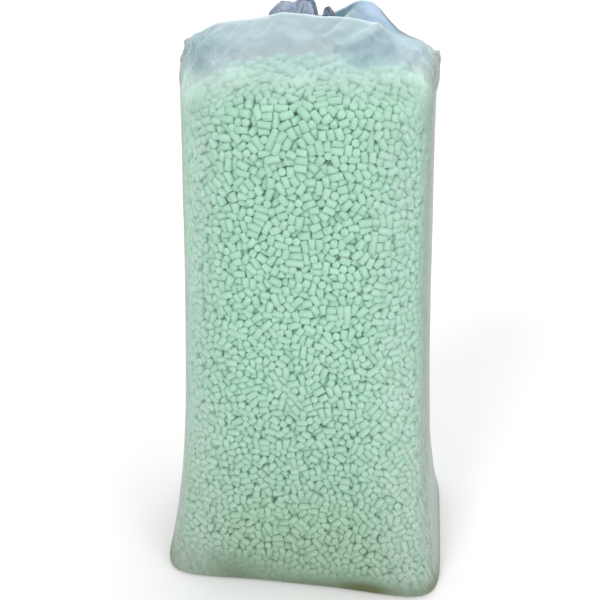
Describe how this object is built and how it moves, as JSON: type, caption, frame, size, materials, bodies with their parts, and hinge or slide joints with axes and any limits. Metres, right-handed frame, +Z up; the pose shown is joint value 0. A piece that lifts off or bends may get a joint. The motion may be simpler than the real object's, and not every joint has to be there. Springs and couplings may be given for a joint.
{
  "type": "packing peanut bag",
  "caption": "Tall clear film bag packed with mint green starch foam packing peanuts, gathered and tied at the top, standing on its flat base.",
  "frame": {"origin": "on the floor under the middle of the bag's box", "axes": "+Z up, the pictured front faces -Y, +X to the right of the front"},
  "size_m": [0.6324, 0.464, 1.2209],
  "materials": {
    "clear_film": "thin clear polyethylene film, soft gloss, lightly hazed",
    "mint_starch": "matte expanded starch foam, pale mint green",
    "tie_plastic": "translucent white plastic, satin"
  },
  "bodies": {
    "root": {"film_bag": "clear_film", "peanut_fill": "mint_starch", "neck_tie": "tie_plastic", "peanut_01": "mint_starch", "peanut_02": "mint_starch", "peanut_03": "mint_starch", "peanut_04": "mint_starch", "peanut_05": "mint_starch", "peanut_06": "mint_starch", "peanut_07": "mint_starch", "peanut_08": "mint_starch", "peanut_09": "mint_starch", "peanut_10": "mint_starch", "peanut_11": "mint_starch", "peanut_12": "mint_starch", "peanut_13": "mint_starch", "peanut_14": "mint_starch", "peanut_15": "mint_starch", "peanut_16": "mint_starch", "peanut_17": "mint_starch", "peanut_18": "mint_starch", "peanut_19": "mint_starch", "peanut_20": "mint_starch", "peanut_21": "mint_starch", "peanut_22": "mint_starch", "peanut_23": "mint_starch", "peanut_24": "mint_starch", "peanut_25": "mint_starch", "peanut_26": "mint_starch", "peanut_27": "mint_starch", "peanut_28": "mint_starch", "peanut_29": "mint_starch", "peanut_30": "mint_starch", "peanut_31": "mint_starch", "peanut_32": "mint_starch", "peanut_33": "mint_starch", "peanut_34": "mint_starch", "peanut_35": "mint_starch", "peanut_36": "mint_starch", "peanut_37": "mint_starch", "peanut_38": "mint_starch", "peanut_39": "mint_starch", "peanut_40": "mint_starch", "peanut_41": "mint_starch", "peanut_42": "mint_starch", "peanut_43": "mint_starch", "peanut_44": "mint_starch", "peanut_45": "mint_starch", "peanut_46": "mint_starch", "peanut_47": "mint_starch", "peanut_48": "mint_starch"}
  },
  "joints": []
}
